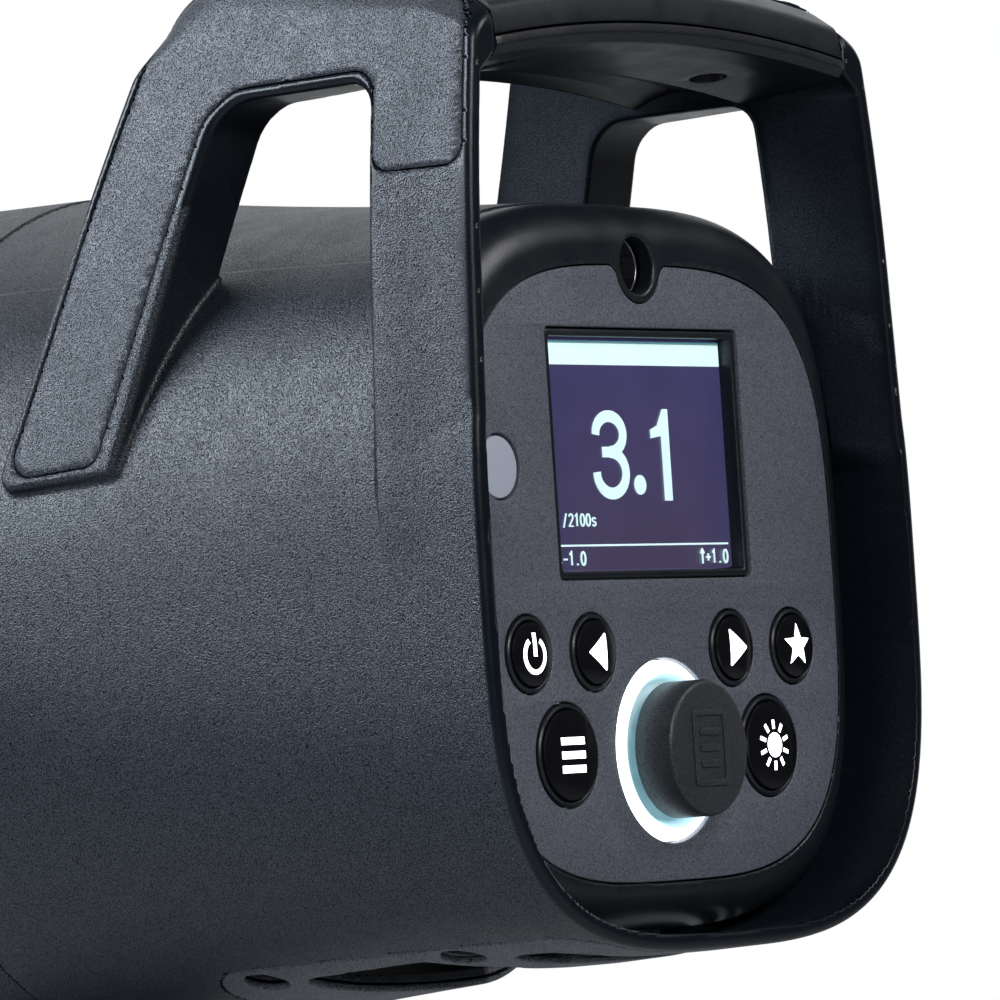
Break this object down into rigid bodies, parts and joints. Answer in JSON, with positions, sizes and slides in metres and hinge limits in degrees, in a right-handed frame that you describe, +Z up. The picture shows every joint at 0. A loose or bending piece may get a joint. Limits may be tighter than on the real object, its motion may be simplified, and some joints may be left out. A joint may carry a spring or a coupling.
{
  "type": "monolight strobe",
  "caption": "Studio flash head with a hooded rear control panel, A-shaped side handles with a cross grip, a front reflector mount and a tilting stand bracket.",
  "frame": {"origin": "centre of the mouth of the 16 mm stand socket in the tilt bracket", "axes": "+Y is the way the light shines and the control panel faces -Y; +X is on the right of someone who reads the panel; +Z is up, out of the stand"},
  "size_m": [0.144, 0.244, 0.2409],
  "materials": {
    "cover_plastic": "coarse-grained charcoal",
    "aluminium": "satin",
    "shell_plastic": "textured charcoal",
    "capacitor_sleeve": "dark blue sleeve",
    "cast_black": "black powder coat",
    "circuit_board": "green solder mask",
    "panel_plastic": "finely grained dark grey",
    "black_gloss": "glossy black",
    "display_glass": "coated display glass",
    "knob_plastic": "matte black",
    "clear_glass": "clear",
    "friction_pad": "fibre friction pad",
    "steel": "plated",
    "bezel_plastic": "satin charcoal",
    "light_diffuser": "translucent white",
    "lamp_phosphor": "yellow phosphor",
    "cell_diffuser": "translucent grey",
    "brass": "machined"
  },
  "bodies": {
    "stand": {"stand_bracket": "cast_black"},
    "head": {"base_shoe": "cover_plastic", "bayonet_ring": "aluminium", "body_shell": "shell_plastic", "capacitor_1": "capacitor_sleeve", "capacitor_2": "capacitor_sleeve", "chassis_plate": "aluminium", "connector_plate": "cast_black", "control_board": "circuit_board", "control_panel": "panel_plastic", "display_frame": "black_gloss", "display_glass": "display_glass", "display_module": "black_gloss", "fan_frame": "knob_plastic", "flash_tube": "clear_glass", "friction_disc_left": "friction_pad", "friction_disc_right": "friction_pad", "front_plate": "aluminium", "front_shell": "shell_plastic", "glass_dome": "clear_glass", "grip_lower": "shell_plastic", "grip_screw_left": "steel", "grip_screw_right": "steel", "grip_upper": "bezel_plastic", "handle_cover_left": "cover_plastic", "handle_cover_right": "cover_plastic", "handle_left": "shell_plastic", "handle_right": "shell_plastic", "knob_light_ring": "light_diffuser", "lamp_heat_sink": "aluminium", "lamp_socket": "light_diffuser", "mains_inlet": "knob_plastic", "modelling_lamp": "lamp_phosphor", "photocell_window": "cell_diffuser", "power_board": "circuit_board", "rear_bezel": "bezel_plastic", "rotary_encoder": "steel", "shoe_screw_1": "steel", "shoe_screw_2": "steel", "shoe_screw_3": "steel", "shoe_screw_4": "steel", "sync_socket": "knob_plastic", "tilt_base": "cast_black", "tilt_bolt": "steel", "trigger_transformer": "cast_black", "umbrella_tube": "steel", "usb_port": "steel"},
    "tilt_lever": {"tilt_lever": "bezel_plastic"},
    "stand_clamp": {"stand_clamp_screw": "brass", "stand_clamp_knob": "bezel_plastic"},
    "selector_shaft": {"selector_shaft": "steel"},
    "selector_knob": {"selector_knob": "knob_plastic"},
    "locking_ring": {"locking_ring": "bezel_plastic"},
    "fan_rotor": {"fan_rotor": "knob_plastic"},
    "power_button": {"power_button": "black_gloss"},
    "previous_button": {"previous_button": "black_gloss"},
    "next_button": {"next_button": "black_gloss"},
    "favourite_button": {"favourite_button": "black_gloss"},
    "menu_button": {"menu_button": "black_gloss"},
    "lamp_button": {"lamp_button": "black_gloss"}
  },
  "joints": [
    {"name": "body_tilt", "type": "hinge", "parent": "stand", "child": "head", "pos_m": [0, 0, 0.049], "axis": [1, 0, 0], "range_deg": [-90, 90]},
    {"name": "tilt_lever_turn", "type": "hinge", "parent": "head", "child": "tilt_lever", "pos_m": [-0.0235, 0, 0.049], "axis": [1, 0, 0], "range_deg": [0, 60]},
    {"name": "stand_clamp_turn", "type": "hinge", "parent": "stand", "child": "stand_clamp", "pos_m": [0.022, 0, 0.017], "axis": [1, 0, 0], "continuous": true},
    {"name": "selector_press", "type": "slide", "parent": "head", "child": "selector_shaft", "axis": [0, 1, 0], "range_m": [0, 0.0005], "stiffness_N_per_m": 2000, "springref_m": -0.0005},
    {"name": "selector_turn", "type": "hinge", "parent": "selector_shaft", "child": "selector_knob", "pos_m": [0, -0.128, 0.1096], "axis": [0, 1, 0], "continuous": true},
    {"name": "locking_ring_turn", "type": "hinge", "parent": "head", "child": "locking_ring", "pos_m": [0, 0.0925, 0.138], "axis": [0, 1, 0], "range_deg": [0, 25]},
    {"name": "fan_spin", "type": "hinge", "parent": "head", "child": "fan_rotor", "pos_m": [0, 0.0315, 0.138], "axis": [0, 1, 0], "continuous": true},
    {"name": "power_button_press", "type": "slide", "parent": "head", "child": "power_button", "axis": [0, 1, 0], "range_m": [0, 0.0009], "stiffness_N_per_m": 800, "springref_m": -0.0006},
    {"name": "previous_button_press", "type": "slide", "parent": "head", "child": "previous_button", "axis": [0, 1, 0], "range_m": [0, 0.0009], "stiffness_N_per_m": 800, "springref_m": -0.0006},
    {"name": "next_button_press", "type": "slide", "parent": "head", "child": "next_button", "axis": [0, 1, 0], "range_m": [0, 0.0009], "stiffness_N_per_m": 800, "springref_m": -0.0006},
    {"name": "favourite_button_press", "type": "slide", "parent": "head", "child": "favourite_button", "axis": [0, 1, 0], "range_m": [0, 0.0009], "stiffness_N_per_m": 800, "springref_m": -0.0006},
    {"name": "menu_button_press", "type": "slide", "parent": "head", "child": "menu_button", "axis": [0, 1, 0], "range_m": [0, 0.0009], "stiffness_N_per_m": 800, "springref_m": -0.0006},
    {"name": "lamp_button_press", "type": "slide", "parent": "head", "child": "lamp_button", "axis": [0, 1, 0], "range_m": [0, 0.0009], "stiffness_N_per_m": 800, "springref_m": -0.0006}
  ]
}
